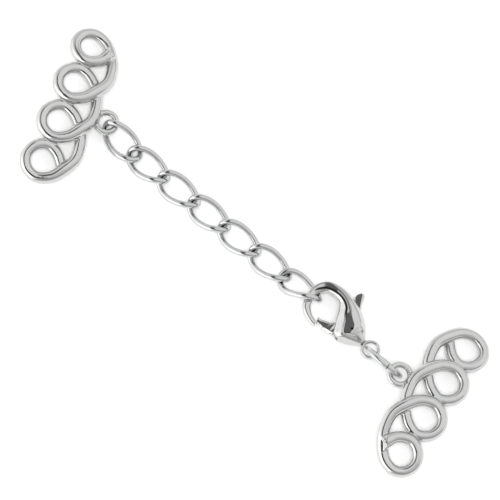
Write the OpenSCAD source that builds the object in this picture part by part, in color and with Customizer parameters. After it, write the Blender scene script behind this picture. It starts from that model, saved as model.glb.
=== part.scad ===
// Four-strand clasp: two end bars, a curb extension chain, a lobster clasp and a jump ring.
// It lies on the plane z = 0, with the chain along X and the two bars across it.

/* [End bars] */
// Distance from one loop to the next
loop_pitch = 5.4; // [5.3:0.05:5.5]
// Radius to which the bars are arched, to follow the neck, on the side of the first loops
arch_radius = 32.6; // [31:0.1:45]
// Radius of the arch on the side of the last loops
tail_arch_radius = 41.6; // [35:0.1:45]
// Scale on the thickness of the wound strand
strand_scale = 1; // [0.95:0.01:1.05]
// Mean radius of the eye on the chain's side
eye_radius = 1.28; // [1.25:0.01:1.32]
// Wire diameter of that eye
eye_wire = 0.74; // [0.68:0.02:0.76]

/* [Chain] */
// Outer length of a link
link_length = 6.62; // [6.58:0.01:6.64]
// Outer width of a link
link_width = 3.9; // [3.8:0.05:4]
// Wire diameter of a link
link_wire = 0.76; // [0.7:0.01:0.78]
// Twist from the middle of a link to each end, in degrees
link_twist = 45; // [43:1:47]
// Distance from one link to the next along the chain
link_pitch = 4.98; // [4.95:0.01:5]

/* [Lobster clasp] */
// Thickness of the lever's plate
lever_thickness = 0.9; // [0.8:0.05:1]
// Clearance between the lever and each cheek
lever_clearance = 0.08; // [0.06:0.01:0.12]
// Diameter of the lever's pin
pin_diameter = 0.5; // [0.4:0.05:0.6]
// Running clearance between the pin and the lever's bore, on the radius
pin_clearance = 0.04; // [0.03:0.01:0.06]

/* [Jump ring] */
// Mean radius of the ring
jump_radius = 2.65; // [2.62:0.01:2.68]
// Wire diameter of the ring
jump_wire = 0.7; // [0.66:0.01:0.72]
// Width of the split in the ring
jump_split = 0.08; // [0.05:0.01:0.15]

/* [Hidden] */
loops = 4;
link_count = 7;
LINK_NODES = [for (i = [1:link_count]) str("link_", i)];
silver = [0.78, 0.79, 0.8];

// One loop of the strand, in the bar's own frame: x is towards the chain, y along the bar and z up.
// It comes from under its own tail, goes round the hole and leaves over itself as the tail.
X = 0;
Y = 1;
Z = 2;
THICK = 3;
loop_rows = [
    // x, y, z, radius of the strand
    [2.80, 0.30, -0.32, 0.72], [1.53, 1.71, -0.33, 0.71], [-0.10, 2.37, -0.25, 0.71], [-1.53, 1.61, -0.09, 0.71],
    [-2.09, 0.17, 0.07, 0.71], [-1.47, -1.28, 0.18, 0.70], [0.05, -1.95, 0.32, 0.70], [1.74, -1.36, 0.36, 0.75],
    [2.94, 0.06, 0.30, 0.79], [3.80, 1.86, 0.05, 0.74], [3.57, 4.03, -0.16, 0.72]
];
// The first loop is curled tighter and the last one is a little different, by these shifts of their rows
first_shifts = [
    [-0.14, -0.13, 0.00], [-0.11, -0.02, -0.05], [0.02, -0.03, -0.03], [0.06, 0.08, 0.02]
];
last_shifts = [
    [-0.02, -0.02, -0.02], [0.00, 0.02, -0.03], [0.04, -0.10, 0.04], [0.11, -0.01, 0.03], [0.16, 0.04, 0.00],
    [0.12, 0.10, 0.00], [0.04, 0.01, -0.03], [0.01, 0.02, -0.11], [-0.19, 0.09, -0.01]
];
rows_per_loop = len(loop_rows);
crown_row = 5;
// Point of the tail's slanting end face, and the turns that take Z to its normal
tail_cut = [2.76, 8.35, 0.3];
tail_face = [0, 72.4, 34.9];
strand_steps = 3;
strand_sides = 10;
facet_turn = 0.54;
eye_place = [5.55, -0.27, -0.45];
eye_root_radius = 0.4;
web_radius = 0.28;

// Where each bar lies: [x, y, z], then its turns about X, Y and Z
chain_bar_at = [-29.38, -0.71, 2.39];
chain_bar_turn = [1.44, 4.41, 19.07];
clasp_bar_at = [30.99, -0.46, 2.58];
clasp_bar_turn = [2.59, -12.11, -170.49];

// Chain links, with the last one hooked in the claw and the first one slack in the bar's eye
link_rings = 28;
link_sides = 6;
link_shape = 2.25;
last_link_x = 8.43;
link_height = 1.02;
first_link_slack = 0.44;
first_link_turn = [15.7, 3.3, -8.1];
first_link_lift = [0, 0.24, 0.25];
last_link_turn = [-25.5, -9, 2.6];
last_link_lift = [-0.04, 0.02, 0.46];
next_to_last_turn = [-3.1, 0, 0];
next_to_last_lift = [0.02, 0, 0.05];

// Lobster clasp, drawn with its end ring at the origin: u is towards the hook, v across, z up
clasp_at = [20.33, -0.635, 1.78];
clasp_ring_radius = 1.04;
clasp_ring_width = 0.42;
clasp_ring_height = 0.66;
lever_pivot = [3.15, 0.22];
lever_boss_radius = 0.95;
gate_reach = 4.62;
claw_rows = [
    // outer u, v, ridge u, v, crease u, v, inner u, v, half thickness, depth of the crease
    [7.22, -2.20, 7.36, -1.88, 7.40, -1.80, 7.55, -1.50, 0.40, 0.00],
    [8.05, -2.21, 8.12, -1.80, 8.14, -1.68, 8.26, -1.26, 0.45, 0.00],
    [9.40, -1.68, 9.19, -1.30, 9.13, -1.20, 8.92, -0.82, 0.46, 0.00],
    [10.25, -0.82, 9.86, -0.57, 9.76, -0.50, 9.38, -0.24, 0.47, 0.00],
    [10.70, 1.05, 10.40, 1.02, 10.12, 0.98, 9.62, 0.94, 0.52, 0.00],
    [10.42, 2.42, 10.22, 2.20, 9.86, 1.80, 9.35, 1.58, 0.68, 0.38],
    [9.35, 3.52, 9.27, 3.15, 9.05, 2.52, 8.84, 2.22, 0.86, 0.33],
    [7.45, 3.93, 7.58, 3.10, 7.66, 2.68, 7.74, 2.36, 1.05, 0.14],
    [6.00, 3.70, 6.36, 2.66, 6.56, 2.36, 6.84, 2.04, 1.25, 0.09],
    [4.90, 3.36, 5.34, 2.06, 5.70, 1.84, 6.28, 1.36, 1.42, 0.10],
    [3.95, 2.96, 4.52, 1.52, 5.04, 1.22, 5.86, 0.44, 1.56, 0.14],
    [3.15, 2.45, 3.68, 0.98, 4.52, 0.58, 5.36, -0.52, 1.64, 0.22],
    [2.70, 2.10, 3.00, 0.44, 4.16, -0.16, 4.80, -1.38, 1.66, 0.31],
    [2.22, 1.70, 2.84, -0.40, 3.62, -0.80, 4.05, -1.66, 1.50, 0.21],
    [1.75, 1.12, 2.10, 0.05, 2.40, -0.30, 2.75, -1.22, 1.08, 0.00],
    [1.20, 0.50, 1.22, 0.08, 1.23, 0.04, 1.28, -0.38, 0.50, 0.00]
];
OUTER = [0, 1];
RIDGE = [2, 3];
CREASE = [4, 5];
INNER = [6, 7];
HALF = 8;
DEPTH = 9;
claw_steps = 3;
// Points across the band from the outer edge to the ridge: share of its width, share of the claw's height
// where it is plain, and share of the height beside the recess
outer_band = [
    [0.0, 0.0, 0.0], [0.05, 0.31, 0.42], [0.15, 0.53, 0.66], [0.4, 0.80, 0.89], [0.7, 0.95, 0.98], [0.92, 1.0, 1.0]
];
// The same for the rib, from the inner edge to the crease, in shares of the rib's height
inner_band = [
    [0.0, 0.0, 0.0], [0.05, 0.31, 0.34], [0.15, 0.53, 0.50], [0.45, 0.84, 0.69], [0.75, 0.97, 0.88], [0.9, 1.0, 0.97]
];
// Crease depth from which the claw has the full profile of a recessed one, and share of it that the rib is lower
full_recess = 0.08;
rib_drop = 0.35;
gate_end_angles = [-25, -16.2];
gate_under = [[3.5, -0.5], [4.4, -1.5], [5.4, -1.78], [6.3, -1.84]];
gate_over = [[7, -1], [6, -0.66], [5.4, -0.08], [4.3, 0.3]];
nub_outline = [
    [3.8, 0.8], [4.6, 2.2], [5.2, 3.2], [5.6, 3.62], [5.86, 3.95], [5.84, 4.4], [5.6, 4.78], [5.25, 4.92],
    [4.95, 4.75], [4.78, 4.35], [4.62, 3.8], [4.1, 2.9], [3.45, 1.5], [2.75, 0.3]
];
gate_well = [[5.1, -0.4], [5.6, -0.7], [6.2, -1], [6.95, -1.26], [6.9, -1.45], [5.8, -1.56], [4.8, -1.4]];
well_depth = 0.22;
slot_gate_angles = [-66, 19];
slot_nub_angles = [42, 112];
slot_root_angles = [18, 37];
slot_reach = 6.4;
slot_inner_reach = 4.68;
slot_root_reach = 2.5;

// Jump ring: it stands on its edge, leaning, and holds the clasp's ring and the bar's eye
jump_at = [22.82, -1.11, 2.88];
jump_lean = 72.2;
jump_yaw = -1.3;
jump_split_angle = -62;

// Middle of the model's box, moved to the origin
middle = [0.048, -0.697, 0.007];

function unit(v) = v / norm(v);
function frac_pow(v, e) = sign(v) * pow(abs(v), e);

// Smooth curve through a list of rows
function spline(p, i, t) =
    let (last = len(p) - 1,
         a = p[max(i - 1, 0)], b = p[i], c = p[min(i + 1, last)], d = p[min(i + 2, last)])
    0.5 * (2 * b + (c - a) * t + (2 * a - 5 * b + 4 * c - d) * t * t + (3 * b - a - 3 * c + d) * t * t * t);
function smooth_rows(p, first, last, steps) = [
    for (k = [0:round((last - first) * steps)])
        let (s = first + k / steps, i = min(floor(s), len(p) - 2)) spline(p, i, s - i)
];

// Faces of a tube from rings of points, open or closed on itself
function tube_faces(rings, sides) = concat(
    [for (i = [0:rings - 2], j = [0:sides - 1])
        let (a = i * sides + j, b = i * sides + (j + 1) % sides) [a, b, b + sides, a + sides]],
    [[for (j = [sides - 1:-1:0]) j]],
    [[for (j = [0:sides - 1]) (rings - 1) * sides + j]]
);
function hoop_faces(rings, sides) = [
    for (i = [0:rings - 1], j = [0:sides - 1])
        let (n = (i + 1) % rings, k = (j + 1) % sides)
        each [[i * sides + j, i * sides + k, n * sides + k], [i * sides + j, n * sides + k, n * sides + j]]
];
function ring_points(centre, along, radius, sides) =
    let (side = unit(cross(along, [0, 0, 1])), up = cross(side, along))
    [for (j = [0:sides - 1])
        let (a = 360 * (j + facet_turn) / sides) centre + radius * (cos(a) * side + sin(a) * up)];

// The whole strand of a bar: its loops one after another, bent to the arch
function arched(p) =
    let (bend = p[Y] > 0 ? tail_arch_radius : arch_radius, a = p[Y] / bend * 180 / PI, r = bend + p[Z])
    [p[X], r * sin(a), r * cos(a) - bend];
function row_shift(i, j) =
    i == 0 && j < len(first_shifts) ? first_shifts[j]
    : i == loops - 1 && j < len(last_shifts) ? last_shifts[j] : [0, 0, 0];
strand_rows = [
    for (i = [0:loops - 1], j = [0:len(loop_rows) - 1])
        let (row = loop_rows[j], d = row_shift(i, j))
        [row[X] + d[X], row[Y] + d[Y] + (i - (loops - 1) / 2) * loop_pitch, row[Z] + d[Z],
         row[THICK] * strand_scale]
];

module strand_piece(first, last) {
    rows = smooth_rows(strand_rows, first, last, strand_steps);
    path = [for (r = rows) arched(r)];
    n = len(path);
    points = [
        for (i = [0:n - 1])
            let (along = unit(path[min(i + 1, n - 1)] - path[max(i - 1, 0)]))
            each ring_points(path[i], along, rows[i][THICK], strand_sides)
    ];
    polyhedron(points, tube_faces(n, strand_sides), convexity = 6);
}

// End of the strand: its tail is cut off slanting, along the last loop's own outline
module tail_end(first, last) {
    difference() {
        strand_piece(first, last);
        translate(arched(tail_cut)) rotate(tail_face) translate([-4, -4, 0]) cube(8);
    }
}

// Small web of metal that joins two loops where they touch, on one side of the touching point
module web(i, side) {
    y = (i - loops / 2) * loop_pitch;
    hull() {
        translate(arched([0.2 + side * 0.25, y, 0])) sphere(r = web_radius, $fn = 8);
        translate(arched([0.2 + side * 0.62, y, 0])) sphere(r = web_radius * 0.7, $fn = 8);
    }
}

// Root that joins the eye to the strand, on one side
module eye_root(side) {
    hull() {
        translate(arched(eye_place + [-eye_radius, side * 0.55, 0])) sphere(r = eye_root_radius, $fn = 10);
        translate(arched([3.45, side * 1.0 - 0.4, -0.1])) sphere(r = eye_root_radius, $fn = 10);
    }
}

module end_bar() {
    last_row = len(strand_rows) - 1;
    color(silver) union() {
        for (i = [0:loops - 1]) {
            start = i * rows_per_loop;
            strand_piece(start, start + crown_row);
            if (i < loops - 1) strand_piece(start + crown_row, start + rows_per_loop);
        }
        tail_end(last_row - rows_per_loop + 1 + crown_row, last_row - 1.1);
        for (i = [1:loops - 1], side = [-1, 1]) web(i, side);
        for (side = [-1, 1]) eye_root(side);
        translate(eye_place) rotate_extrude($fn = 24) translate([eye_radius, 0]) circle(d = eye_wire, $fn = 8);
    }
}

module chain_end_bar() {
    translate(chain_bar_at) rotate(chain_bar_turn) end_bar();
}

module clasp_end_bar() {
    translate(clasp_bar_at) rotate(clasp_bar_turn) end_bar();
}

// Centre line of a curb link: a rounded oval, turned about its length from one end to the other
function link_point(t) =
    let (half = (link_length - link_wire) / 2,
         x = half * frac_pow(cos(t), 2 / link_shape),
         y = (link_width - link_wire) / 2 * frac_pow(sin(t), 2 / link_shape),
         turn = -link_twist * x / half)
    [x, y * cos(turn), y * sin(turn)];

module curb_link() {
    step = 360 / link_rings;
    path = [for (i = [0:link_rings - 1]) link_point((i + 0.5) * step)];
    points = [
        for (i = [0:link_rings - 1])
            let (along = unit(path[(i + 1) % link_rings] - path[(i + link_rings - 1) % link_rings]),
                 out = unit(cross(along, cross([path[i][X] * 0.2, path[i][Y], path[i][Z]], along))),
                 up = cross(along, out))
            for (j = [0:link_sides - 1])
                let (a = 360 * (j + 0.5) / link_sides)
                path[i] + link_wire / 2 * (cos(a) * out + sin(a) * up)
    ];
    color(silver) polyhedron(points, hoop_faces(link_rings, link_sides), convexity = 6);
}

// Link i of the chain, counted from the first end bar
module chain_link(i) {
    along = [last_link_x - (link_count - i) * link_pitch + (i == 1 ? first_link_slack : 0), 0, link_height];
    lift = i == 1 ? first_link_lift : i == link_count ? last_link_lift
         : i == link_count - 1 ? next_to_last_lift : [0, 0, 0];
    turn = i == 1 ? first_link_turn : i == link_count ? last_link_turn
         : i == link_count - 1 ? next_to_last_turn : [0, 0, 0];
    translate(along + lift) rotate(turn) curb_link();
}

module clasp_frame() {
    translate(clasp_at) mirror([1, 0, 0]) children();
}

// One section of the claw: over the outer band, down a slanting face to the crease and over the rib,
// then back underneath
function pick(row, columns) = [row[columns[0]], row[columns[1]]];
function band(edge, rim, places, height, grooved) =
    [for (b = places) [each (edge + (rim - edge) * b[0]), height * (b[1] + (b[2] - b[1]) * grooved)]];
function claw_section(row) =
    let (outer = pick(row, OUTER), ridge = pick(row, RIDGE), crease = pick(row, CREASE),
         inner = pick(row, INNER), half = row[HALF], depth = max(0, row[DEPTH]),
         grooved = min(1, depth / full_recess),
         rib = band(inner, crease, inner_band, half - rib_drop * depth, grooved),
         top = concat(
             band(outer, ridge, outer_band, half, grooved),
             [[each (ridge + (crease - ridge) * 0.04), half - depth * 0.04], [each crease, half - depth]],
             [for (k = [len(rib) - 1:-1:0]) rib[k]]
         ),
         n = len(top))
    concat(top, [for (k = [n - 2:-1:1]) [top[k][X], top[k][Y], -top[k][Z]]]);

module claw() {
    rows = smooth_rows(claw_rows, 0, len(claw_rows) - 1, claw_steps);
    sections = [for (r = rows) claw_section(r)];
    polyhedron([for (s = sections) each s], tube_faces(len(sections), len(sections[0])), convexity = 8);
}

module sector(angles, radius) {
    polygon(concat([[0, 0]], [for (k = [0:12])
        let (a = angles[0] + (angles[1] - angles[0]) * k / 12) radius * [cos(a), sin(a)]]));
}

// Outline of the lever: under the gate, round its end, back over the gate and round the nub
lever_outline = concat(
    gate_under,
    [for (k = [0:4])
        let (a = gate_end_angles[0] + (gate_end_angles[1] - gate_end_angles[0]) * k / 4)
        lever_pivot + gate_reach * [cos(a), sin(a)]],
    gate_over,
    nub_outline
);

module clasp_ring() {
    rim = clasp_ring_width / 2;
    bevel = rim * 0.6;
    half = clasp_ring_height / 2;
    rotate_extrude($fn = 48) translate([clasp_ring_radius, 0]) polygon([
        [-rim, -half + bevel], [-rim + bevel, -half], [rim - bevel, -half], [rim, -half + bevel],
        [rim, half - bevel], [rim - bevel, half], [-rim + bevel, half], [-rim, half - bevel]
    ]);
}

module lobster_body() {
    slot = lever_thickness + 2 * lever_clearance;
    color(silver) clasp_frame() difference() {
        union() {
            claw();
            clasp_ring();
        }
        translate([each lever_pivot, -slot / 2]) linear_extrude(slot) {
            circle(r = lever_boss_radius + 0.15, $fn = 48);
            sector(slot_gate_angles, slot_inner_reach);
            sector(slot_nub_angles, slot_reach);
            sector(slot_root_angles, slot_root_reach);
        }
        translate([each lever_pivot, -2]) cylinder(d = pin_diameter, h = 4, $fn = 32);
    }
}

module lobster_lever() {
    color(silver) clasp_frame() difference() {
        union() {
            translate([each lever_pivot, -lever_thickness / 2])
                cylinder(r = lever_boss_radius, h = lever_thickness, $fn = 48);
            translate([0, 0, -lever_thickness / 2]) linear_extrude(lever_thickness)
                polygon(lever_outline);
        }
        for (side = [-1, 1]) translate([0, 0, side * lever_thickness / 2])
            linear_extrude(2 * well_depth, center = true) polygon(gate_well);
        translate([each lever_pivot, -2]) cylinder(d = pin_diameter + 2 * pin_clearance, h = 4, $fn = 32);
    }
}

module lever_pin() {
    length = 2.7;
    color(silver) clasp_frame() translate([each lever_pivot, -length / 2])
        cylinder(d = pin_diameter, h = length, $fn = 32);
}

module jump_ring() {
    gap_angle = 2 * asin(jump_split / 2 / jump_radius);
    color(silver) translate(jump_at) rotate([-jump_lean, 0, jump_yaw]) rotate([0, 0, jump_split_angle])
        rotate_extrude(angle = 360 - gap_angle, $fn = 64) translate([jump_radius, 0]) circle(d = jump_wire, $fn = 24);
}

translate(-middle) {
    chain_end_bar();
    clasp_end_bar();
    jump_ring();
    lobster_body();
    lobster_lever();
    lever_pin();
    for (i = [1:link_count]) chain_link(i);
}
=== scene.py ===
"""A four-strand jewellery clasp, lying fastened: end bar, curb chain, lobster clasp, jump ring, end bar."""

import math

import bmesh
import bpy
import numpy as np
from mathutils import Euler, Matrix, Vector


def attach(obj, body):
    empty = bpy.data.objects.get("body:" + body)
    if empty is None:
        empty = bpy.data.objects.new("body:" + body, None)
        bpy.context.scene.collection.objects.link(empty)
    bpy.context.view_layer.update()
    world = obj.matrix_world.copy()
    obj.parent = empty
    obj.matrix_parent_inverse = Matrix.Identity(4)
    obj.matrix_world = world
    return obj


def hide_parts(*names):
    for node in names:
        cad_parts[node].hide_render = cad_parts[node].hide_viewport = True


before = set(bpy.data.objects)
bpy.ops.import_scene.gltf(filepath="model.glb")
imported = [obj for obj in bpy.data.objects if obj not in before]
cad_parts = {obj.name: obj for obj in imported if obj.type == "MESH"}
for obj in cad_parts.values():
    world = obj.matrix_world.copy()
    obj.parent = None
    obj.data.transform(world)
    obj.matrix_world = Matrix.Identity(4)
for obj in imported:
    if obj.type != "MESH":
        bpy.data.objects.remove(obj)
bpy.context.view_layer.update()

# Everything is drawn in millimetres, where the set lies, and is moved to metres and the frame's origin at
# the end.
MM = 0.001
SET_MIDDLE = Vector((0.048, -0.697, 0.007))


# Small tools


def shade(code):
    """Linear colour of an sRGB hex value."""
    parts = [int(code[i : i + 2], 16) / 255 for i in (1, 3, 5)]
    return (*[p / 12.92 if p <= 0.04045 else ((p + 0.055) / 1.055) ** 2.4 for p in parts], 1.0)


def add(tree, kind, inputs=None, **settings):
    """A node with its settings, and its inputs set or linked."""
    made = tree.nodes.new(kind)
    for key, value in settings.items():
        setattr(made, key, value)
    for key, value in (inputs or {}).items():
        if isinstance(value, bpy.types.NodeSocket):
            tree.links.new(value, made.inputs[key])
        else:
            made.inputs[key].default_value = value
    return made


def catmull(rows, s):
    """Smooth row at place s, counted in rows, of a table of numbers."""
    i = min(int(s), len(rows) - 2)
    t = s - i
    before, here = rows[max(i - 1, 0)], rows[i]
    after, beyond = rows[i + 1], rows[min(i + 2, len(rows) - 1)]
    return [
        0.5 * (2 * b + (c - a) * t + (2 * a - 5 * b + 4 * c - d) * t * t + (3 * b - a - 3 * c + d) * t**3)
        for a, b, c, d in zip(before, here, after, beyond)
    ]


def new_object(name, mesh):
    made = bpy.data.objects.new(name, mesh)
    bpy.context.scene.collection.objects.link(made)
    return made


def mesh_of(name, points, edges=(), faces=()):
    mesh = bpy.data.meshes.new(name)
    mesh.from_pydata([tuple(p) for p in points], list(edges), list(faces))
    return mesh


def settled(rough, name):
    """The object with its modifiers worked in, as a plain mesh in the place of the first one."""
    graph = bpy.context.evaluated_depsgraph_get()
    mesh = bpy.data.meshes.new_from_object(rough.evaluated_get(graph))
    old = rough.data
    bpy.data.objects.remove(rough)
    if old.users == 0:
        bpy.data.meshes.remove(old)
    mesh.name = name
    return mesh


def fused(rough, voxel, rounds):
    """One closed skin over shapes that run into each other, with the small fillets of a casting."""
    skin = rough.modifiers.new("skin", "REMESH")
    skin.mode = "VOXEL"
    skin.voxel_size = voxel
    skin.use_smooth_shade = True
    if rounds:
        soft = rough.modifiers.new("tumbled", "SMOOTH")
        soft.factor = 0.5
        soft.iterations = rounds


def finished(mesh, name, nodes, body, material):
    """A piece in metres in the frame, with its finish, the body it rides on and the nodes it stands for."""
    mesh.transform(Matrix.Scale(MM, 4) @ Matrix.Translation(-SET_MIDDLE))
    mesh.materials.clear()
    mesh.materials.append(material)
    mesh.polygons.foreach_set("use_smooth", [True] * len(mesh.polygons))
    mesh.update()
    piece = new_object(name, mesh)
    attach(piece, body)
    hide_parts(*nodes)
    return piece


# Camera, floor and light

# Width that the photo's frame covers where the set lies, in mm
PHOTO_WIDTH = 62.0
TOWARDS_CAMERA = Vector((0.223, -0.259, 0.940)).normalized()
IMAGE_RIGHT = Vector((0.758, 0.652, 0)).normalized()
VIEW_MIDDLE = -SET_MIDDLE * MM
# A long lens from far away, in mm, for a view that is nearly parallel
LENS, SENSOR_WIDTH = 600.0, 36.0
# Half the width of the paper, in metres
FLOOR_HALF = 1.5


def set_camera():
    lens = bpy.data.cameras.new("photo_camera")
    lens.lens = LENS
    lens.sensor_width = SENSOR_WIDTH
    lens.clip_end = 10
    camera = new_object("photo_camera", lens)
    camera.location = VIEW_MIDDLE + TOWARDS_CAMERA * (PHOTO_WIDTH * MM * LENS / SENSOR_WIDTH)
    image_up = TOWARDS_CAMERA.cross(IMAGE_RIGHT)
    camera.rotation_euler = Matrix((IMAGE_RIGHT, image_up, TOWARDS_CAMERA)).transposed().to_euler()
    bpy.context.scene.camera = camera
    bpy.context.scene.view_settings.view_transform = "Standard"


def set_floor():
    material = bpy.data.materials.new("white_paper_sweep")
    material.use_nodes = True
    shader = material.node_tree.nodes["Principled BSDF"]
    shader.inputs["Base Color"].default_value = shade("#F6F6F6")
    shader.inputs["Roughness"].default_value = 0.9
    corners = [(x * FLOOR_HALF, y * FLOOR_HALF, 0) for x, y in ((-1, -1), (1, -1), (1, 1), (-1, 1))]
    mesh = mesh_of("paper_floor", corners, faces=[(0, 1, 2, 3)])
    mesh.materials.append(material)
    floor = new_object("paper_floor", mesh)


# Middles of the tent's roof, and of its sides to the lower left, the left and the bottom of the picture
ROOF_MIDDLE = Vector((0.45, 0.33, 0.83)).normalized()
NEAR_SIDE = Vector((-0.075, -0.997, 0.0)).normalized()
LEFT_SIDE = Vector((-0.90, -0.42, 0.1)).normalized()
DOWN_SIDE = Vector((0.65, -0.76, 0.0)).normalized()
# Cosines from the roof's middle: where the roof ends, and where the wall begins on its far and near sides
ROOF_END, WALL_TOP = 0.676, (0.407, 0.24)
# Half the width of the soft edges of the roof and the wall, as cosines
ROOF_EDGE, WALL_EDGE = 0.012, 0.02
# Cosines from a side between which one part of the tent passes into the next
ROOF_SPAN, WALL_SPAN, CARD_SPAN, WALL_TOP_SPAN = (0.1, 0.55), (0.4, 0.85), (0.75, 0.95), (0.5, 0.7)
GAP_SPAN, NEAR_GAP_SPAN = (-0.52, -0.2), (0.2, 0.42)
DOWN_GAP_SPAN, DOWN_WALL_SPAN = (0.35, 0.65), (0.7, 0.86)
# Strengths of light, with a pair where it runs from one value to another across the span
ROOF_LIGHT, WALL_LIGHT, LEFT_LIGHT = (1.08, 0.75), (0.9, 2.0), (0.0, 0.5)
GAP_LIGHT, NEAR_GAP_LIGHT, DOWN_GAP_LIGHT, DOWN_WALL_LIGHT = (0.75, 0.16), 0.03, 0.5, 0.7
# The lamp's strength, and the angle in degrees that it seems wide
FRONT_LIGHT, LAMP_WIDTH = 1.75, 20


def set_light():
    """A light tent: a round diffuser overhead, a gap round it, black on the near side, and a white wall.

    A soft lamp from the camera's side lights the paper, and isn't mirrored in the metal.
    """
    world = bpy.data.worlds.new("light_tent")
    bpy.context.scene.world = world
    world.use_nodes = True
    tree = world.node_tree
    tree.nodes.clear()
    way = add(tree, "ShaderNodeTexCoord").outputs["Generated"]

    def towards(middle):
        inputs = {0: way, 1: tuple(middle)}
        return add(tree, "ShaderNodeVectorMath", inputs, operation="DOT_PRODUCT").outputs["Value"]

    over, near, left, down = [towards(middle) for middle in (ROOF_MIDDLE, NEAR_SIDE, LEFT_SIDE, DOWN_SIDE)]

    def between(value, first, last, low=0.0, high=1.0):
        inputs = {"Value": value, "From Min": first, "From Max": last, "To Min": low, "To Max": high}
        return add(tree, "ShaderNodeMapRange", inputs, interpolation_type="SMOOTHSTEP").outputs["Result"]

    def blend(share, low, high):
        return add(tree, "ShaderNodeMix", {0: share, 2: low, 3: high}, data_type="FLOAT").outputs[0]

    card = between(left, *CARD_SPAN, *LEFT_LIGHT)
    side = between(near, *WALL_SPAN, *WALL_LIGHT)
    wall = add(tree, "ShaderNodeMath", {0: side, 1: card}, operation="ADD").outputs[0]
    wall = blend(between(down, *DOWN_WALL_SPAN), wall, DOWN_WALL_LIGHT)
    roof = between(down, *ROOF_SPAN, *ROOF_LIGHT)
    gap = blend(between(near, *NEAR_GAP_SPAN), between(near, *GAP_SPAN, *GAP_LIGHT), NEAR_GAP_LIGHT)
    gap = blend(between(down, *DOWN_GAP_SPAN), gap, DOWN_GAP_LIGHT)
    wall_top = between(near, *WALL_TOP_SPAN, *WALL_TOP)
    above_wall = add(tree, "ShaderNodeMath", {0: over, 1: wall_top}, operation="SUBTRACT").outputs[0]
    below = blend(between(above_wall, -WALL_EDGE, WALL_EDGE), wall, gap)
    tent = blend(between(over, ROOF_END - ROOF_EDGE, ROOF_END + ROOF_EDGE), below, roof)
    back = add(tree, "ShaderNodeBackground", {"Color": tent, "Strength": 1.0})
    add(tree, "ShaderNodeOutputWorld", {"Surface": back.outputs["Background"]})
    lamp = bpy.data.lights.new("front_lamp", "SUN")
    lamp.energy = FRONT_LIGHT
    lamp.angle = math.radians(LAMP_WIDTH)
    sun = new_object("front_lamp", lamp)
    sun.rotation_euler = TOWARDS_CAMERA.to_track_quat("Z", "Y").to_euler()
    sun.visible_glossy = False


# Finishes, with shade painted into their crevices

# Size of the plating's cloudy patches, in mm
CLOUD_SIZE = 1.6
# Painted shade in crevices, a darkening where other metal closes a place in: how near other metal has to be,
# in mm, how open a place is when fully darkened and when clear of it, and the colour of the painted shade
PAINTED_SHADE_REACH, PAINTED_SHADE_OPEN = 0.3, (0.35, 0.8)
PAINTED_SHADE_COLOUR = "#202020"


def plated(name, tint, low, high, wave_mm, wave_depth_mm):
    """Silver-tone plating over polished metal: a slightly uneven mirror with faint cloudy patches.

    Its crevices are painted dark as shade, the more the nearer other metal is, and so is the mesh where it is
    marked.
    """
    material = bpy.data.materials.new(name)
    material.use_nodes = True
    tree = material.node_tree
    shader = tree.nodes["Principled BSDF"]
    shader.inputs["Metallic"].default_value = 1.0
    where = add(tree, "ShaderNodeTexCoord").outputs["Object"]
    cloud = add(tree, "ShaderNodeTexNoise", {"Vector": where, "Scale": 1 / (CLOUD_SIZE * MM), "Detail": 3.0})
    colour = add(tree, "ShaderNodeMix", {0: cloud.outputs["Fac"], 6: shade(tint[0]), 7: shade(tint[1])},
                 data_type="RGBA")
    # Painted shade: places closed in by nearby metal are darkened towards a near-black colour
    open_sky = add(tree, "ShaderNodeAmbientOcclusion", {"Distance": PAINTED_SHADE_REACH * MM}, samples=8,
                   only_local=True)
    shown = add(tree, "ShaderNodeMapRange", {"Value": open_sky.outputs["AO"], "From Min": PAINTED_SHADE_OPEN[0],
                                             "From Max": PAINTED_SHADE_OPEN[1], "To Min": 0.1, "To Max": 1.0})
    # Marks painted on the mesh: painted shade along the crease, and a dark disc round the pin's axis
    marked = add(tree, "ShaderNodeAttribute", attribute_name="painted_shade").outputs["Fac"]
    unshaded = add(tree, "ShaderNodeMath", {0: 1.0, 1: marked}, operation="SUBTRACT").outputs[0]
    share = {0: shown.outputs["Result"], 1: unshaded}
    bright = add(tree, "ShaderNodeMath", share, operation="MULTIPLY").outputs[0]
    # Mixes the painted shade's colour into the plating's colour
    shaded_colour = add(tree, "ShaderNodeMix", {0: bright, 6: shade(PAINTED_SHADE_COLOUR), 7: colour.outputs[2]},
               data_type="RGBA")
    haze = add(tree, "ShaderNodeMapRange", {"Value": cloud.outputs["Fac"], "From Min": 0.3, "From Max": 0.7,
                                            "To Min": low, "To Max": high})
    wave = add(tree, "ShaderNodeTexNoise", {"Vector": where, "Scale": 1 / (wave_mm * MM), "Detail": 1.0})
    bump = add(tree, "ShaderNodeBump", {"Height": wave.outputs["Fac"], "Strength": 1.0,
                                        "Distance": wave_depth_mm * MM})
    tree.links.new(shaded_colour.outputs[2], shader.inputs["Base Color"])
    tree.links.new(haze.outputs["Result"], shader.inputs["Roughness"])
    tree.links.new(bump.outputs["Normal"], shader.inputs["Normal"])
    return material


# Cast zinc alloy, polished and plated: bright, with the slight waviness that tumbling leaves.
cast_plating = plated("plated_cast_zinc", ("#CCCCCA", "#C4C5C5"), 0.05, 0.11, 1.1, 0.006)
# Drawn wire, plated: straighter reflections than on the castings.
wire_plating = plated("plated_drawn_wire", ("#CACACA", "#C2C3C3"), 0.05, 0.10, 0.8, 0.002)
# Riveted steel pin: duller than the plating round it.
pin_plating = plated("riveted_steel_pin", ("#9A9A99", "#7C7C7C"), 0.2, 0.35, 0.2, 0.002)

# Wires swept along a path

# Length of a step along a swept wire, in mm, and the sides of the bars' strand and of the jump ring
WIRE_STEP, STRAND_SIDES, JUMP_SIDES = 0.12, 40, 32


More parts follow.
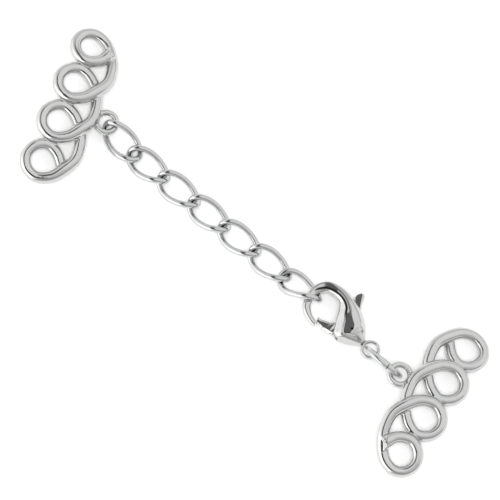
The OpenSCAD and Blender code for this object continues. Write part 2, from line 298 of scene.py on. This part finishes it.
def swept_tree():
    """Sweeps a round wire along each path of points, as thick as the points' own radius."""
    tree = bpy.data.node_groups.new("swept_wire", "GeometryNodeTree")
    face = tree.interface
    face.new_socket("Geometry", in_out="INPUT", socket_type="NodeSocketGeometry")
    face.new_socket("Step", in_out="INPUT", socket_type="NodeSocketFloat")
    face.new_socket("Sides", in_out="INPUT", socket_type="NodeSocketInt")
    face.new_socket("Material", in_out="INPUT", socket_type="NodeSocketMaterial")
    face.new_socket("Geometry", in_out="OUTPUT", socket_type="NodeSocketGeometry")
    given = add(tree, "NodeGroupInput")
    path = add(tree, "GeometryNodeMeshToCurve", {"Mesh": given.outputs["Geometry"]})
    round_path = add(tree, "GeometryNodeCurveSplineType", {"Curve": path.outputs["Curve"]},
                     spline_type="CATMULL_ROM")
    fine = add(tree, "GeometryNodeSetSplineResolution",
               {"Geometry": round_path.outputs["Curve"], "Resolution": 24})
    even = add(tree, "GeometryNodeResampleCurve", {"Curve": fine.outputs["Geometry"],
                                                   "Length": given.outputs["Step"]}, mode="LENGTH")
    thick = add(tree, "GeometryNodeInputNamedAttribute", {"Name": "thick"}, data_type="FLOAT")
    ring = add(tree, "GeometryNodeCurvePrimitiveCircle",
               {"Resolution": given.outputs["Sides"], "Radius": 1.0})
    tube = add(tree, "GeometryNodeCurveToMesh",
               {"Curve": even.outputs["Curve"], "Profile Curve": ring.outputs["Curve"],
                "Scale": thick.outputs["Attribute"], "Fill Caps": True})
    real = add(tree, "GeometryNodeRealizeInstances", {"Geometry": tube.outputs["Mesh"]})
    done = add(tree, "GeometryNodeSetMaterial", {"Geometry": real.outputs["Geometry"],
                                                 "Material": given.outputs["Material"]})
    add(tree, "NodeGroupOutput", {"Geometry": done.outputs["Geometry"]})
    return tree


def set_inputs(modifier, values):
    """Sets a Geometry Nodes modifier's inputs by their names on the tree."""
    for item in modifier.node_group.interface.items_tree:
        if item.item_type == "SOCKET" and item.in_out == "INPUT" and item.name in values:
            modifier[item.identifier] = values[item.name]


def swept(name, paths, step, sides, material):
    """Object with a wire along each path; a path is (closed, rows of x, y, z, radius)."""
    points, radii, edges = [], [], []
    for closed, rows in paths:
        first = len(points)
        points += [row[:3] for row in rows]
        radii += [row[3] for row in rows]
        last = len(points) - 1
        edges += [(i, i + 1) for i in range(first, last)]
        if closed:
            edges.append((last, first))
    mesh = mesh_of(name, points, edges)
    mesh.attributes.new("thick", "FLOAT", "POINT").data.foreach_set("value", radii)
    made = new_object(name, mesh)
    sweep = made.modifiers.new("wire", "NODES")
    sweep.node_group = swept_wire
    set_inputs(sweep, {"Step": step, "Sides": sides, "Material": material})
    return made


swept_wire = swept_tree()

# End bars

LOOPS = 4
LOOP_PITCH = 5.4
# Radii to which a bar is arched, on the side of its first loops and on that of its last ones
ARCH_RADIUS, TAIL_ARCH_RADIUS = 32.6, 41.6
LOOP_ROWS = [
    # x towards the chain, y along the bar, z up, radius of the strand
    (2.80, 0.30, -0.32, 0.72), (1.53, 1.71, -0.33, 0.71), (-0.10, 2.37, -0.25, 0.71),
    (-1.53, 1.61, -0.09, 0.71), (-2.09, 0.17, 0.07, 0.71), (-1.47, -1.28, 0.18, 0.70),
    (0.05, -1.95, 0.32, 0.70), (1.74, -1.36, 0.36, 0.75), (2.94, 0.06, 0.30, 0.79),
    (3.80, 1.86, 0.05, 0.74), (3.57, 4.03, -0.16, 0.72),
]
# The first loop is curled tighter and the last one is a little different, by these shifts of their rows
FIRST_SHIFTS = [
    (-0.14, -0.13, 0.00), (-0.11, -0.02, -0.05), (0.02, -0.03, -0.03), (0.06, 0.08, 0.02),
]
LAST_SHIFTS = [
    (-0.02, -0.02, -0.02), (0.00, 0.02, -0.03), (0.04, -0.10, 0.04), (0.11, -0.01, 0.03), (0.16, 0.04, 0.00),
    (0.12, 0.10, 0.00), (0.04, 0.01, -0.03), (0.01, 0.02, -0.11), (-0.19, 0.09, -0.01),
]
EYE_PLACE = (5.55, -0.27, -0.45)
EYE_RADIUS = 1.28
EYE_WIRE = 0.74
# The two roots of the eye: where they meet the strand, half their spread at either end, and their radii
ROOT_END = (3.45, -0.4, -0.1)
ROOT_START_SPREAD, ROOT_END_SPREAD = 0.55, 1.0
ROOT_RADII = (0.40, 0.38, 0.46)
# The web between two loops: its middle, and its points' reach to either side and radius
WEB_X = 0.2
WEB_POINTS = [(0.1, 0.34), (0.4, 0.30), (0.75, 0.20)]
END_BARS = {
    # name: where the bar lies, and its turns about X, Y and Z in degrees
    "chain_end_bar": ((-29.38, -0.71, 2.39), (1.44, 4.41, 19.07)),
    "clasp_end_bar": ((30.99, -0.46, 2.58), (2.59, -12.11, -170.49)),
}


def arched(x, y, z, radius=None):
    bend = TAIL_ARCH_RADIUS if y > 0 else ARCH_RADIUS
    turn = y / bend
    reach = bend + z
    bent = (x, reach * math.sin(turn), reach * math.cos(turn) - bend)
    return bent if radius is None else (*bent, radius)


def strand_rows():
    rows = []
    for i in range(LOOPS):
        shifts = {0: FIRST_SHIFTS, LOOPS - 1: LAST_SHIFTS}.get(i, [])
        for j, (x, y, z, radius) in enumerate(LOOP_ROWS):
            dx, dy, dz = shifts[j] if j < len(shifts) else (0, 0, 0)
            rows.append((x + dx, y + dy + (i - (LOOPS - 1) / 2) * LOOP_PITCH, z + dz, radius))
    return rows


def bar_paths():
    strand = strand_rows()
    paths = [(False, [arched(*row) for row in strand[:-2]])]
    around = [2 * math.pi * k / 24 for k in range(24)]
    x, y, z = arched(*EYE_PLACE)
    eye = [(x + EYE_RADIUS * math.cos(a), y + EYE_RADIUS * math.sin(a), z, EYE_WIRE / 2) for a in around]
    paths.append((True, eye))
    for side in (-1, 1):
        start = arched(EYE_PLACE[0] - EYE_RADIUS, EYE_PLACE[1] + side * ROOT_START_SPREAD, EYE_PLACE[2])
        end = arched(ROOT_END[0], side * ROOT_END_SPREAD + ROOT_END[1], ROOT_END[2])
        middle = [(a + b) / 2 for a, b in zip(start, end)]
        paths.append((False, [(*spot, radius) for spot, radius in zip((start, middle, end), ROOT_RADII)]))
    for i in range(1, LOOPS):
        y = (i - LOOPS / 2) * LOOP_PITCH
        for side in (-1, 1):
            web = [arched(WEB_X + side * reach, y, 0, radius) for reach, radius in WEB_POINTS]
            paths.append((False, web))
    return paths


# The tail's end is cut off slanting, along the last loop's own outline
TAIL_CUT = (2.76, 8.35, 0.3)
TAIL_FACE = (0.78, 0.545, 0.303)
# What each step adds to the tail's radius, and where its steps begin, in rows before the strand's last one
TAIL_FLARE, TAIL_START, TAIL_STEP, TAIL_STEPS = 0.016, 2.6, 0.1, 16


def tail_end():
    rows = strand_rows()
    last = len(rows) - 1
    path = []
    for k in range(TAIL_STEPS):
        x, y, z, radius = catmull(rows, last - TAIL_START + TAIL_STEP * k)
        path.append(arched(x, y, z, radius + TAIL_FLARE * k))
    mesh = settled(swept("tail", [(False, path)], WIRE_STEP, STRAND_SIDES, cast_plating), "tail")
    work = bmesh.new()
    work.from_mesh(mesh)
    bmesh.ops.remove_doubles(work, verts=work.verts, dist=1e-5)
    sides = work.verts[:] + work.edges[:] + work.faces[:]
    cut_edges = bmesh.ops.bisect_plane(work, geom=sides, plane_co=arched(*TAIL_CUT), plane_no=TAIL_FACE,
                                       clear_outer=True)["geom_cut"]
    bmesh.ops.holes_fill(work, edges=[e for e in cut_edges if isinstance(e, bmesh.types.BMEdge)], sides=0)
    bpy.data.meshes.remove(mesh)
    return work


def make_bars():
    for name, (place, turns) in END_BARS.items():
        strand = settled(swept(name, bar_paths(), WIRE_STEP, STRAND_SIDES, cast_plating), name)
        work = tail_end()
        work.from_mesh(strand)
        bpy.data.meshes.remove(strand)
        whole = bpy.data.meshes.new(name)
        work.to_mesh(whole)
        work.free()
        rough = new_object(name, whole)
        fused(rough, voxel=0.07, rounds=6)
        mesh = settled(rough, name + "_skin")
        turn = Euler([math.radians(t) for t in turns]).to_matrix().to_4x4()
        mesh.transform(Matrix.Translation(place) @ turn)
        finished(mesh, name + "_skin", [name], "clasp_set", cast_plating)


# Curb chain

LINK_LENGTH, LINK_WIDTH, LINK_WIRE = 6.62, 3.9, 0.76
LINK_TWIST = 45.0
LINK_SHAPE = 2.25
LINK_PITCH = 4.98
LAST_LINK_X = 8.43
LINK_HEIGHT = 1.02
LINK_COUNT = 7
LINK_STEPS, LINK_SIDES = 112, 28
LINK_PLACES = {
    # link: shift along the chain, across it and up, and turns about X, Y and Z in degrees
    1: ((0.44, 0.24, 0.25), (15.7, 3.3, -8.1)),
    6: ((0.02, 0.0, 0.05), (-3.1, 0.0, 0.0)),
    7: ((-0.04, 0.02, 0.46), (-25.5, -9.0, 2.6)),
}


def link_tree():
    """A twisted oval wire link on each point, turned by the point's own turn."""
    tree = bpy.data.node_groups.new("curb_links", "GeometryNodeTree")
    face = tree.interface
    face.new_socket("Geometry", in_out="INPUT", socket_type="NodeSocketGeometry")
    for title in ("Length", "Width", "Wire", "Twist", "Shape"):
        face.new_socket(title, in_out="INPUT", socket_type="NodeSocketFloat")
    face.new_socket("Material", in_out="INPUT", socket_type="NodeSocketMaterial")
    face.new_socket("Geometry", in_out="OUTPUT", socket_type="NodeSocketGeometry")
    given = add(tree, "NodeGroupInput").outputs

    def sums(operation, a, b=0.0):
        return add(tree, "ShaderNodeMath", {0: a, 1: b}, operation=operation).outputs[0]

    circle = add(tree, "GeometryNodeCurvePrimitiveCircle", {"Resolution": LINK_STEPS, "Radius": 1.0})
    share = add(tree, "GeometryNodeSplineParameter").outputs["Factor"]
    angle = sums("MULTIPLY", share, 2 * math.pi)
    power = sums("DIVIDE", 2.0, given["Shape"])
    half_long = sums("MULTIPLY", sums("SUBTRACT", given["Length"], given["Wire"]), 0.5)
    half_wide = sums("MULTIPLY", sums("SUBTRACT", given["Width"], given["Wire"]), 0.5)
    unit_x, unit_y = [
        sums("MULTIPLY", sums("SIGN", wave), sums("POWER", sums("ABSOLUTE", wave), power))
        for wave in (sums("COSINE", angle), sums("SINE", angle))
    ]
    turn = sums("MULTIPLY", unit_x, sums("MULTIPLY", sums("RADIANS", given["Twist"]), -1.0))
    across = sums("MULTIPLY", unit_y, half_wide)
    spot = add(tree, "ShaderNodeCombineXYZ", {"X": sums("MULTIPLY", unit_x, half_long),
                                              "Y": sums("MULTIPLY", across, sums("COSINE", turn)),
                                              "Z": sums("MULTIPLY", across, sums("SINE", turn))})
    path = add(tree, "GeometryNodeSetPosition", {"Geometry": circle.outputs["Curve"],
                                                 "Position": spot.outputs["Vector"]})
    profile = add(tree, "GeometryNodeCurvePrimitiveCircle",
                  {"Resolution": LINK_SIDES, "Radius": sums("MULTIPLY", given["Wire"], 0.5)})
    link = add(tree, "GeometryNodeCurveToMesh", {"Curve": path.outputs["Geometry"],
                                                 "Profile Curve": profile.outputs["Curve"]})
    turns = add(tree, "GeometryNodeInputNamedAttribute", {"Name": "turn"}, data_type="FLOAT_VECTOR")
    facing = add(tree, "FunctionNodeEulerToRotation", {"Euler": turns.outputs["Attribute"]})
    placed = add(tree, "GeometryNodeInstanceOnPoints", {"Points": given["Geometry"],
                                                        "Instance": link.outputs["Mesh"],
                                                        "Rotation": facing.outputs["Rotation"]})
    real = add(tree, "GeometryNodeRealizeInstances", {"Geometry": placed.outputs["Instances"]})
    done = add(tree, "GeometryNodeSetMaterial", {"Geometry": real.outputs["Geometry"],
                                                 "Material": given["Material"]})
    add(tree, "NodeGroupOutput", {"Geometry": done.outputs["Geometry"]})
    return tree


def make_chain():
    points, turns = [], []
    for i in range(1, LINK_COUNT + 1):
        shift, turn = LINK_PLACES.get(i, ((0, 0, 0), (0, 0, 0)))
        along = LAST_LINK_X - (LINK_COUNT - i) * LINK_PITCH
        points.append((along + shift[0], shift[1], LINK_HEIGHT + shift[2]))
        turns += [math.radians(t) for t in turn]
    mesh = mesh_of("curb_chain", points)
    mesh.attributes.new("turn", "FLOAT_VECTOR", "POINT").data.foreach_set("vector", turns)
    rough = new_object("curb_chain", mesh)
    links = rough.modifiers.new("links", "NODES")
    links.node_group = link_tree()
    set_inputs(links, {"Length": LINK_LENGTH, "Width": LINK_WIDTH, "Wire": LINK_WIRE, "Twist": LINK_TWIST,
                       "Shape": LINK_SHAPE, "Material": wire_plating})
    mesh = settled(rough, "curb_chain")
    finished(mesh, "curb_chain", ["link_%d" % i for i in range(1, LINK_COUNT + 1)], "clasp_set",
             wire_plating)


# Jump ring

JUMP_PLACE = (22.82, -1.11, 2.88)
JUMP_RADIUS, JUMP_WIRE, JUMP_SPLIT = 2.65, 0.7, 0.08
JUMP_LEAN, JUMP_YAW = 72.2, -1.3
JUMP_SPLIT_ANGLE = -62.0
JUMP_STEPS = 72


def make_jump_ring():
    gap = math.degrees(2 * math.asin(JUMP_SPLIT / 2 / JUMP_RADIUS))
    rows = []
    for k in range(JUMP_STEPS + 1):
        a = math.radians(JUMP_SPLIT_ANGLE + (360 - gap) * k / JUMP_STEPS)
        rows.append((JUMP_RADIUS * math.cos(a), JUMP_RADIUS * math.sin(a), 0, JUMP_WIRE / 2))
    wire = swept("jump_ring_wire", [(False, rows)], WIRE_STEP, JUMP_SIDES, wire_plating)
    mesh = settled(wire, "jump_ring_wire")
    turn = Euler((math.radians(-JUMP_LEAN), 0, math.radians(JUMP_YAW))).to_matrix().to_4x4()
    mesh.transform(Matrix.Translation(JUMP_PLACE) @ turn)
    finished(mesh, "jump_ring_wire", ["jump_ring"], "clasp_set", wire_plating)


# Lobster clasp: u runs from its end ring towards the hook, v across it, z up

CLASP_PLACE = (20.33, -0.635, 1.78)
TO_SET = Matrix.Translation(CLASP_PLACE) @ Matrix.Scale(-1, 4, (1, 0, 0))
PIVOT = (3.15, 0.22)
LEVER_THICK, LEVER_PLAY = 0.9, 0.08
BOSS_RADIUS, BOSS_PLAY = 0.95, 0.15
PIN_WIDTH, PIN_PLAY = 0.5, 0.04
# Half the pin's length, and how far its ends are domed, as a share of its radius
PIN_HALF, PIN_DOME = 1.35, 0.35
GATE_REACH = 4.62
RING_RADIUS, RING_WIDTH, RING_HEIGHT = 1.04, 0.42, 0.66
CLAW_ROWS = [
    # outer u, v, ridge u, v, crease u, v, inner u, v, half thickness, depth of the crease
    (7.22, -2.20, 7.36, -1.88, 7.40, -1.80, 7.55, -1.50, 0.40, 0.00),
    (8.05, -2.21, 8.12, -1.80, 8.14, -1.68, 8.26, -1.26, 0.45, 0.00),
    (9.40, -1.68, 9.19, -1.30, 9.13, -1.20, 8.92, -0.82, 0.46, 0.00),
    (10.25, -0.82, 9.86, -0.57, 9.76, -0.50, 9.38, -0.24, 0.47, 0.00),
    (10.70, 1.05, 10.40, 1.02, 10.12, 0.98, 9.62, 0.94, 0.52, 0.00),
    (10.42, 2.42, 10.22, 2.20, 9.86, 1.80, 9.35, 1.58, 0.68, 0.06),
    (9.35, 3.52, 9.27, 3.15, 9.05, 2.52, 8.84, 2.22, 0.86, 0.11),
    (7.45, 3.93, 7.58, 3.10, 7.64, 2.78, 7.74, 2.36, 1.05, 0.11),
    (6.00, 3.70, 6.30, 2.78, 6.46, 2.54, 6.84, 2.04, 1.25, 0.09),
    (4.90, 3.36, 5.28, 2.14, 5.54, 1.97, 6.28, 1.36, 1.42, 0.10),
    (3.95, 2.96, 4.52, 1.52, 5.04, 1.22, 5.86, 0.44, 1.56, 0.14),
    (3.15, 2.45, 3.68, 0.98, 4.52, 0.58, 5.36, -0.52, 1.64, 0.22),
    (2.70, 2.10, 3.00, 0.44, 4.16, -0.16, 4.80, -1.38, 1.66, 0.31),
    (2.22, 1.70, 2.84, -0.40, 3.62, -0.80, 4.05, -1.66, 1.50, 0.14),
    (1.75, 1.12, 2.10, 0.05, 2.40, -0.30, 2.75, -1.22, 1.08, 0.00),
    (1.20, 0.50, 1.22, 0.08, 1.23, 0.04, 1.28, -0.38, 0.50, 0.00),
]
OUTER_BAND = [
    # share of the way from the outer edge to the ridge, then shares of the height on a plain claw and
    # beside the recess
    (0.0, 0.0, 0.0), (0.05, 0.31, 0.42), (0.15, 0.53, 0.66), (0.4, 0.80, 0.89), (0.7, 0.95, 0.98),
    (0.92, 1.0, 1.0),
]
INNER_BAND = [
    # share of the way from the inner edge to the crease, then shares of the rib's height on a plain claw,
    # beside the recess and on the smooth cone by the end ring
    (0.0, 0.0, 0.0, 0.0), (0.05, 0.31, 0.45, 0.42), (0.15, 0.53, 0.62, 0.66), (0.45, 0.84, 0.77, 0.90),
    (0.75, 0.97, 0.91, 0.98), (0.9, 1.0, 0.97, 1.0),
]
# Rows between which the rib passes into the smooth cone
CONE_ROWS = (12.5, 13.5)
# Depth from which a crease counts as a full recess, and the share of the depth by which the rib lies lower
FULL_RECESS = 0.08
RIB_DROP = 0.35
# Places on the slant from the ridge down to the crease, as shares of the way
SLANT = (0.04, 0.3, 0.65, 1.0)
# Sections between two rows of the claw
CLAW_STEPS = 10
GATE_UNDER = [(3.5, -0.5), (4.4, -1.5), (5.4, -1.78), (6.3, -1.84)]
GATE_OVER = [(7, -1), (6, -0.66), (5.4, -0.08), (4.3, 0.3)]
GATE_END_ANGLES = (-25.0, -16.2)
NUB = [
    (3.8, 0.8), (4.6, 2.2), (5.2, 3.2), (5.6, 3.62), (5.86, 3.95), (5.84, 4.4), (5.6, 4.78), (5.25, 4.92),
    (4.95, 4.75), (4.78, 4.35), (4.62, 3.8), (4.1, 2.9), (3.45, 1.5), (2.75, 0.3),
]
# Where the gate is cut down: its lower edge, the foot of the bevel there, and the foot of the rim above
GATE_CUT = [
    # u, then v of these three
    (4.2, -1.25, -0.95, 0.20), (4.9, -1.64, -1.32, -0.02), (5.4, -1.78, -1.45, -0.22),
    (6.0, -1.82, -1.49, -0.80), (6.5, -1.84, -1.52, -0.97), (7.0, -1.80, -1.50, -1.14),
    (7.4, -1.72, -1.46, -1.22), (7.9, -1.60, -1.38, -1.28),
]
# Height of the cut at one place, in u and v, and its fall to each millimetre of -v and +u
GATE_FLOOR, GATE_FLOOR_AT, GATE_FALL = 0.25, (5.4, -1.45), (0.16, 0.05)
# How far the cut runs on below the gate's edge, the most height that it leaves at the rim, and how far up
# it goes
CUT_OVERRUN, CUT_RIM, CUT_TOP = 0.15, 0.43, 0.8
# Ends of the ridge on the nub, from which its face slants towards the hook
NUB_RIDGE = (5.45, 4.95), (4.3, 2.9)
NUB_SLANT, NUB_CUT_WIDTH = 0.24, 1.1
# Sectors of the slot in which the gate, the nub and the gate's root swing: angles in degrees, and reach
SLOT_GATE_ANGLES, SLOT_NUB_ANGLES = (-66, 19), (42, 112)
SLOT_GATE_REACH, SLOT_NUB_REACH = 4.68, 6.4
SLOT_ROOT_ANGLES, SLOT_ROOT_REACH = (18, 37), 2.5
# Radius of the dark mark at the pin's end
PIN_MARK = 0.15
# Rows between which the crease is painted dark as shade, rows over which this painted shade fades in and out,
# and its reach from the crease's line, in mm
CREASE_ROWS, CREASE_FADES, CREASE_DARK = (4.2, 12.2), (0.8, 2.5), 0.2


def claw_section(row, place):
    """Outline of the claw at one row of its table, all the way round; place counts the rows."""
    outer, ridge, crease, inner = [row[i : i + 2] for i in (0, 2, 4, 6)]
    half, depth = row[8], max(row[9], 0.0)
    cone = min(1.0, max(0.0, (place - CONE_ROWS[0]) / (CONE_ROWS[1] - CONE_ROWS[0])))
    grooved = min(1.0, depth / FULL_RECESS)
    rib = half - depth * (RIB_DROP + (1 - RIB_DROP) * cone)

    def band(edge, rim, places, height, bulk=0.0):
        fine = [catmull(places, k / 4) for k in range(4 * (len(places) - 1) + 1)]
        levels = [(at[0], at[1] + (at[2] - at[1]) * grooved, at[-1]) for at in fine]
        return [
            (*[a + (b - a) * share for a, b in zip(edge, rim)], height * (level + (smooth - level) * bulk))
            for share, level, smooth in levels
        ]

    top = band(outer, ridge, OUTER_BAND, half)
    top += [(*[a + (b - a) * share for a, b in zip(ridge, crease)], half - depth * share) for share in SLANT]
    top += band(inner, crease, INNER_BAND, rib, cone)[::-1]
    return top + [(u, v, -z) for u, v, z in top[-2:0:-1]]


def skinned(sections):
    """Closed skin through sections of the same number of points."""
    n = len(sections[0])
    faces = []
    for i in range(len(sections) - 1):
        for j in range(n):
            k = (j + 1) % n
            faces.append((i * n + j, i * n + k, (i + 1) * n + k, (i + 1) * n + j))
    faces.append(tuple(range(n))[::-1])
    faces.append(tuple(range((len(sections) - 1) * n, len(sections) * n)))
    return [p for s in sections for p in s], faces


def prism(outline, low, high):
    n = len(outline)
    points = [(*p, low) for p in outline] + [(*p, high) for p in outline]
    faces = [(i, (i + 1) % n, n + (i + 1) % n, n + i) for i in range(n)]
    return points, faces + [tuple(range(n))[::-1], tuple(range(n, 2 * n))]


def arc(centre, radius, first, last, count):
    steps = [math.radians(first + (last - first) * k / count) for k in range(count + 1)]
    return [(centre[0] + radius * math.cos(a), centre[1] + radius * math.sin(a)) for a in steps]


def disc(centre, radius):
    """Outline of a full circle of 48 sides."""
    return arc(centre, radius, 0, 352.5, 47)


def lathe(profile, count=72):
    """Closed ring from a closed profile of (radius, height)."""
    n = len(profile)
    points, faces = [], []
    for i in range(count):
        a = 2 * math.pi * i / count
        points += [(r * math.cos(a), r * math.sin(a), z) for r, z in profile]
        faces += [(i * n + j, i * n + (j + 1) % n, (i + 1) % count * n + (j + 1) % n, (i + 1) % count * n + j)
                  for j in range(n)]
    return points, faces


def joined(name, shapes):
    """One mesh of several closed shapes, each a pair of points and faces."""
    points, faces = [], []
    for more, sides in shapes:
        start = len(points)
        points += more
        faces += [tuple(start + i for i in side) for side in sides]
    mesh = mesh_of(name, points, faces=faces)
    work = bmesh.new()
    work.from_mesh(mesh)
    bmesh.ops.remove_doubles(work, verts=work.verts, dist=1e-6)
    bmesh.ops.recalc_face_normals(work, faces=work.faces)
    work.to_mesh(mesh)
    work.free()
    return mesh


def cut(rough, name, shapes):
    """Takes each closed shape out of the object, one after another."""
    tools = []
    for i, shape in enumerate(shapes):
        tool = new_object("%s_%d" % (name, i), joined(name, [shape]))
        tool.hide_render = True
        knife = rough.modifiers.new(name, "BOOLEAN")
        knife.operation = "DIFFERENCE"
        knife.solver = "EXACT"
        knife.object = tool
        tools.append(tool)
    mesh = settled(rough, name)
    for tool in tools:
        bpy.data.objects.remove(tool)
    return mesh


def mark_painted_shade(mesh):
    """Marks where the plating is painted dark: painted shade along the crease, and a dark disc round the
    pin's axis.
    """
    first, last = CREASE_ROWS
    places = [first + (last - first) * k / 120 for k in range(121)]
    rise, fall = CREASE_FADES
    weights = [min(1.0, (s - first) / rise, max(0.0, (last - s) / fall)) for s in places]
    line = [(*catmull(CLAW_ROWS, s)[4:6], weight) for s, weight in zip(places, weights)]
    count = len(mesh.vertices)
    spots = np.empty(count * 3, dtype=np.float32)
    mesh.vertices.foreach_get("co", spots)
    spots = spots.reshape(-1, 3)
    amount = np.zeros(count, dtype=np.float32)
    for u, v, weight in line:
        away = np.hypot(spots[:, 0] - u, spots[:, 1] - v)
        amount = np.maximum(amount, weight * np.clip((CREASE_DARK - away) / (CREASE_DARK * 0.6), 0, 1))
    away = np.hypot(spots[:, 0] - PIVOT[0], spots[:, 1] - PIVOT[1])
    amount = np.maximum(amount, np.clip((PIN_MARK * 1.25 - away) / (PIN_MARK * 0.4), 0, 1))
    mesh.attributes.new("painted_shade", "FLOAT", "POINT").data.foreach_set("value", amount)


def make_clasp_body():
    count = (len(CLAW_ROWS) - 1) * CLAW_STEPS
    sections = [claw_section(catmull(CLAW_ROWS, k / CLAW_STEPS), k / CLAW_STEPS) for k in range(count + 1)]
    claw = new_object("claw", joined("claw", [skinned(sections)]))
    slot = LEVER_THICK / 2 + LEVER_PLAY
    ways = [prism(disc(PIVOT, BOSS_RADIUS + BOSS_PLAY), -slot, slot)]
    for reach, angles in ((SLOT_GATE_REACH, SLOT_GATE_ANGLES), (SLOT_NUB_REACH, SLOT_NUB_ANGLES),
                          (SLOT_ROOT_REACH, SLOT_ROOT_ANGLES)):
        ways.append(prism([PIVOT] + arc(PIVOT, reach, *angles, 12), -slot, slot))
    claw = new_object("claw", cut(claw, "slot", ways))
    rim, half = RING_WIDTH / 2, RING_HEIGHT / 2
    rounded = [(RING_RADIUS + rim * math.cos(a) * (1.0 if abs(math.sin(a)) < 0.9 else 0.9),
                half * math.copysign(abs(math.sin(a)) ** 0.95, math.sin(a)))
               for a in [2 * math.pi * (k + 0.5) / 20 for k in range(20)]]
    ring = new_object("ring", joined("ring", [lathe(rounded)]))
    work = bmesh.new()
    for part in (claw, ring):
        work.from_mesh(part.data)
        bpy.data.objects.remove(part)
    whole = bpy.data.meshes.new("clasp_body")
    work.to_mesh(whole)
    work.free()
    rough = new_object("clasp_body", whole)
    fused(rough, voxel=0.045, rounds=4)
    mesh = settled(rough, "clasp_body_casting")
    # Painted shade along the crease, and a dark disc painted round the pin's axis
    mark_painted_shade(mesh)
    mesh.transform(TO_SET)
    mesh.flip_normals()
    finished(mesh, "clasp_body_casting", ["lobster_body"], "clasp_set", cast_plating)


def gate_cut(side):
    """What is taken off one face of the gate: the sunken face and the bevel along the lower edge."""
    sections = []
    for u, low, foot, rim in GATE_CUT:
        floor = [
            GATE_FLOOR + GATE_FALL[0] * (v - GATE_FLOOR_AT[1]) - GATE_FALL[1] * (u - GATE_FLOOR_AT[0])
            for v in (foot, rim)
        ]
        drop = floor[0] * CUT_OVERRUN / (foot - low)
        start = low - CUT_OVERRUN
        corners = [(start, -drop), (foot, floor[0]), (rim, min(CUT_RIM, floor[1])), (rim, CUT_TOP),
                   (start, CUT_TOP)]
        sections.append([(u, v, side * z) for v, z in corners])
    return skinned(sections)


def nub_cut(side, half):
    """What is taken off one face of the nub, on its side towards the hook."""
    (u0, v0), (u1, v1) = NUB_RIDGE
    along = Vector((u1 - u0, v1 - v0)).normalized()
    across = Vector((-along.y, along.x))
    sections = []
    corners = [(0, half), (NUB_CUT_WIDTH, half - NUB_CUT_WIDTH * NUB_SLANT), (NUB_CUT_WIDTH, CUT_TOP),
               (0, CUT_TOP)]
    for u, v in NUB_RIDGE:
        sections.append([(u + across.x * far, v + across.y * far, side * z) for far, z in corners])
    return skinned(sections)


def make_lever():
    half = LEVER_THICK / 2
    outline = GATE_UNDER + arc(PIVOT, GATE_REACH, *GATE_END_ANGLES, 6) + GATE_OVER + NUB
    boss = prism(disc(PIVOT, BOSS_RADIUS), -half, half)
    work = bmesh.new()
    for shape in (boss, prism(outline, -half, half)):
        work.from_mesh(joined("lever", [shape]))
    whole = bpy.data.meshes.new("lever")
    work.to_mesh(whole)
    work.free()
    rough = new_object("lever", whole)
    fused(rough, voxel=0.04, rounds=0)
    lever = new_object("lever", settled(rough, "lever"))
    wells = [shape for side in (-1, 1) for shape in (gate_cut(side), nub_cut(side, half))]
    bore = prism(disc(PIVOT, PIN_WIDTH / 2 + PIN_PLAY), -2, 2)
    rough = new_object("lever", cut(lever, "wells", wells + [bore]))
    fused(rough, voxel=0.035, rounds=3)
    mesh = settled(rough, "lever_casting")
    mesh.transform(TO_SET)
    mesh.flip_normals()
    finished(mesh, "lever_casting", ["lobster_lever"], "lever", cast_plating)


def make_pin():
    radius = PIN_WIDTH / 2
    heights = [
        (radius * share, PIN_HALF - radius * PIN_DOME * (1 - math.sqrt(max(0.0, 1 - share * share))))
        for share in (0.15, 0.35, 0.55, 0.75, 0.9, 1.0)
    ]
    profile = heights + [(r, -z) for r, z in reversed(heights)]
    count = 48
    points, faces = [], []
    around = [2 * math.pi * k / count for k in range(count)]
    for r, z in profile:
        points += [(PIVOT[0] + r * math.cos(a), PIVOT[1] + r * math.sin(a), z) for a in around]
    for low in range(0, (len(profile) - 1) * count, count):
        for k in range(count):
            after = (k + 1) % count
            faces.append((low + k, low + after, low + count + after, low + count + k))
    faces.append(tuple(range(count)))
    faces.append(tuple(range((len(profile) - 1) * count, len(profile) * count)))
    mesh = joined("riveted_pin", [(points, faces)])
    mesh.transform(TO_SET)
    mesh.flip_normals()
    finished(mesh, "riveted_pin", ["lever_pin"], "clasp_set", pin_plating)


set_camera()
set_floor()
set_light()
make_bars()
make_chain()
make_jump_ring()
make_clasp_body()
make_lever()
make_pin()
